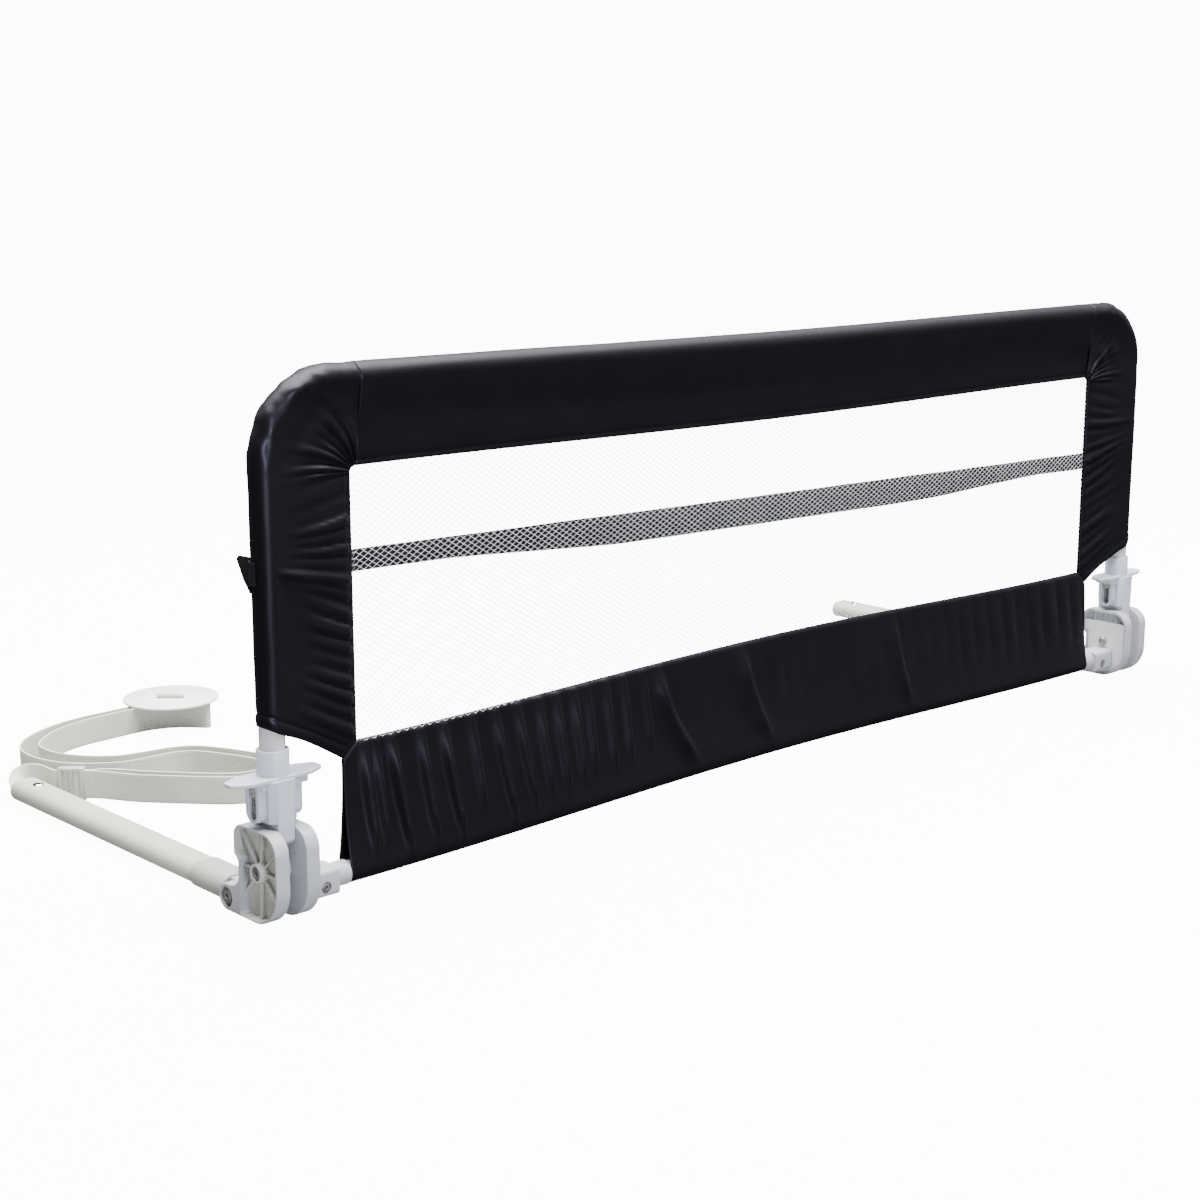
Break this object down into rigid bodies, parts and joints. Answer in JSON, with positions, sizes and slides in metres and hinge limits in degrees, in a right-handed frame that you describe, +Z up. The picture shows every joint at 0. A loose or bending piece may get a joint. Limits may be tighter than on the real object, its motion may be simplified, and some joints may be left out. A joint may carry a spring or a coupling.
{
  "type": "folding bed guard rail",
  "caption": "Folding bed guard rail: bent tube frame in a dark fabric cover with a net window, white folding hinges with release sleeves, support arms, and a webbing strap with an anchor disc.",
  "frame": {"origin": "on the floor, under the middle of the object's box", "axes": "+X along the rail to its right end as the picture shows it, +Y from the rail along the support arms, towards the bed, +Z up"},
  "size_m": [1.1564, 0.5852, 0.399],
  "materials": {
    "cloth": "matte woven",
    "net": "open diamond net",
    "band_cloth": "matte woven",
    "hinge_plastic": "satin moulded",
    "cover_plastic": "matte moulded",
    "arm_plastic": "satin moulded",
    "arm_paint": "satin paint",
    "frame_paint": "satin paint",
    "steel": "brushed",
    "bright_rivet": "polished",
    "webbing": "woven webbing",
    "slider_plastic": "satin moulded",
    "disc_plastic": "satin moulded"
  },
  "bodies": {
    "base": {"left_outer_hinge_plate": "hinge_plastic", "left_inner_hinge_plate": "hinge_plastic", "left_inner_hinge_cover": "cover_plastic", "left_pivot_bolt": "steel", "left_pivot_nut": "steel", "left_arm_bolt": "steel", "left_arm_washer": "steel", "left_arm_nut": "steel", "left_bar_screw": "steel", "right_outer_hinge_plate": "hinge_plastic", "right_inner_hinge_plate": "hinge_plastic", "right_inner_hinge_cover": "cover_plastic", "right_pivot_bolt": "steel", "right_pivot_nut": "steel", "right_arm_bolt": "steel", "right_arm_washer": "steel", "right_arm_nut": "steel", "right_bar_screw": "steel", "bottom_bar": "frame_paint", "skirt_hem": "cloth"},
    "rail": {"left_tongue": "hinge_plastic", "left_guide_pin": "steel", "left_corner_tube": "frame_paint", "left_side_panel": "cloth", "left_release_spring": "steel", "right_tongue": "hinge_plastic", "right_guide_pin": "steel", "right_corner_tube": "frame_paint", "right_side_panel": "cloth", "right_release_spring": "steel", "top_tube": "frame_paint", "top_panel": "cloth", "upper_skirt": "cloth", "net_window": "net", "reinforcing_band": "band_cloth", "band_tab": "band_cloth"},
    "left_release": {"left_release_sleeve": "hinge_plastic"},
    "right_release": {"right_release_sleeve": "hinge_plastic"},
    "left_arm": {"left_arm_socket": "arm_plastic", "left_arm_tube": "arm_paint", "left_arm_button": "bright_rivet", "strap": "webbing", "strap_slider": "slider_plastic", "anchor_disc": "disc_plastic"},
    "right_arm": {"right_arm_socket": "arm_plastic", "right_arm_tube": "arm_paint", "right_arm_button": "bright_rivet"}
  },
  "joints": [
    {"name": "rail_fold", "type": "hinge", "parent": "base", "child": "rail", "pos_m": [0, -0.26435, 0.0375], "axis": [1, 0, 0], "range_deg": [0, 180]},
    {"name": "left_release_lift", "type": "slide", "parent": "rail", "child": "left_release", "axis": [0, 0, 1], "range_m": [0, 0.0085], "stiffness_N_per_m": 300, "springref_m": -0.012, "deforming": ["left_release_spring"]},
    {"name": "left_arm_fold", "type": "hinge", "parent": "base", "child": "left_arm", "pos_m": [-0.5392, -0.22585, 0.0103], "axis": [1, 0, 0], "range_deg": [0, 90]},
    {"name": "right_release_lift", "type": "slide", "parent": "rail", "child": "right_release", "axis": [0, 0, 1], "range_m": [0, 0.0085], "stiffness_N_per_m": 300, "springref_m": -0.012, "deforming": ["right_release_spring"]},
    {"name": "right_arm_fold", "type": "hinge", "parent": "base", "child": "right_arm", "pos_m": [0.5392, -0.22585, 0.0103], "axis": [1, 0, 0], "range_deg": [0, 90]}
  ]
}
